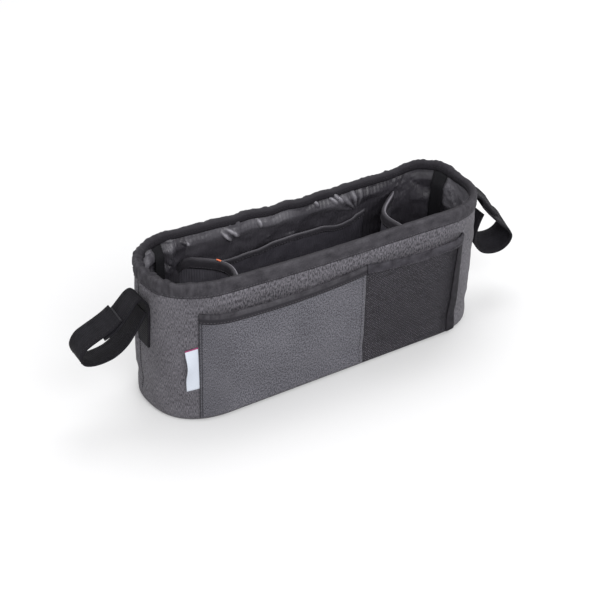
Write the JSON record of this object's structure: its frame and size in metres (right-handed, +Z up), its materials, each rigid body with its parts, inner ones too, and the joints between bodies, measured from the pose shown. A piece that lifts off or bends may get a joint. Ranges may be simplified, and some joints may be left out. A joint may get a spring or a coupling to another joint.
{
  "type": "stroller organizer",
  "caption": "Soft open caddy with a bound rim, round cup bays at both ends, patch and net pockets in front, a low inner pocket and hook-and-loop straps.",
  "frame": {"origin": "middle of the base's underside, on the surface that the bag stands on", "axes": "+X along the bag, towards the net pocket; -Y is the front with the pockets; +Z up"},
  "size_m": [0.5116, 0.1353, 0.1559],
  "materials": {
    "melange": "woven melange polyester, matt",
    "tape": "ribbed binding tape, matt",
    "lining": "thin crinkled nylon, soft sheen",
    "foam": "soft open-cell padding",
    "board": "plain stiffening board",
    "mesh": "knitted net",
    "webbing": "brushed loop tape, matt",
    "hook": "hook tape",
    "tag": "blank satin tag"
  },
  "bodies": {
    "root": {"outer_front_panel": "melange", "outer_back_panel": "melange", "base_panel": "melange", "base_board": "board", "lining_base": "lining", "wall_foam": "foam", "lining_wall": "lining", "rim_binding": "tape", "cup_divider_left": "lining", "cup_divider_right": "lining", "cup_binding_left": "tape", "cup_binding_right": "tape", "inner_back_pocket": "lining", "inner_pocket_hem": "tape", "fabric_pocket_panel": "melange", "fabric_pocket_binding": "tape", "mesh_pocket_panel": "mesh", "mesh_pocket_binding": "tape", "side_tag": "tag", "seam_tape_left": "tape", "seam_tape_right": "tape", "strap_short_left": "webbing", "strap_short_right": "webbing", "strap_long_left": "webbing", "strap_long_right": "webbing", "hook_patch_left": "hook", "hook_patch_right": "hook"}
  },
  "joints": []
}
